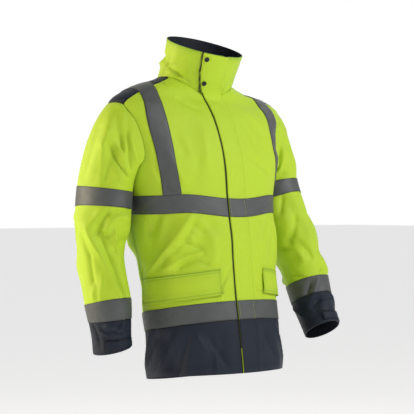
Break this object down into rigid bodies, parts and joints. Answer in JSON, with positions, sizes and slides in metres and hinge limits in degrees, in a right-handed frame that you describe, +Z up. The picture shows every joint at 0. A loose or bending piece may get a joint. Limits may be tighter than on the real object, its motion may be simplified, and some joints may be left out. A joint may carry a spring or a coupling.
{
  "type": "hi-vis work jacket",
  "caption": "Long high-visibility work parka in worn form: stand collar, storm flap over the zip, flap pockets, reflective bands and braces, navy hem, yoke and cuffs, open inside.",
  "frame": {"origin": "middle of the neck at the height of the shoulder line, where the wearer's shoulders hold it", "axes": "+Z up, the front faces -Y, the wearer's left is +X"},
  "size_m": [0.7444, 0.3832, 0.9663],
  "materials": {
    "yellow_cloth": "coated woven polyester, low sheen",
    "navy_cloth": "coated woven polyester, low sheen",
    "reflective_tape": "retroreflective glass-bead tape, satin",
    "collar_lining": "smooth woven lining",
    "zip_strip": "matt woven zip strip",
    "stud": "dark satin press stud cap"
  },
  "bodies": {
    "root": {"front_right": "yellow_cloth", "chest_tape_right": "reflective_tape", "hem_tape_right": "reflective_tape", "pocket_flap_right": "yellow_cloth", "front_left": "yellow_cloth", "chest_tape_left": "reflective_tape", "hem_tape_left": "reflective_tape", "pocket_flap_left": "yellow_cloth", "back": "yellow_cloth", "chest_tape_back": "reflective_tape", "hem_tape_back": "reflective_tape", "hem_front_right": "navy_cloth", "hem_front_left": "navy_cloth", "hem_back": "navy_cloth", "yoke_right": "navy_cloth", "brace_right": "reflective_tape", "yoke_left": "navy_cloth", "brace_left": "reflective_tape", "sleeve_right": "yellow_cloth", "cuff_right": "navy_cloth", "sleeve_tape_upper_right": "reflective_tape", "sleeve_tape_lower_right": "reflective_tape", "cuff_tab_right": "navy_cloth", "sleeve_left": "yellow_cloth", "cuff_left": "navy_cloth", "sleeve_tape_upper_left": "reflective_tape", "sleeve_tape_lower_left": "reflective_tape", "cuff_tab_left": "navy_cloth", "collar": "yellow_cloth", "collar_lining": "collar_lining", "zip": "zip_strip", "flap_facing": "yellow_cloth", "storm_flap_hem": "navy_cloth", "storm_flap": "yellow_cloth", "chest_tape_flap": "reflective_tape", "hem_tape_flap": "reflective_tape", "snap_upper": "stud", "snap_lower": "stud"}
  },
  "joints": []
}
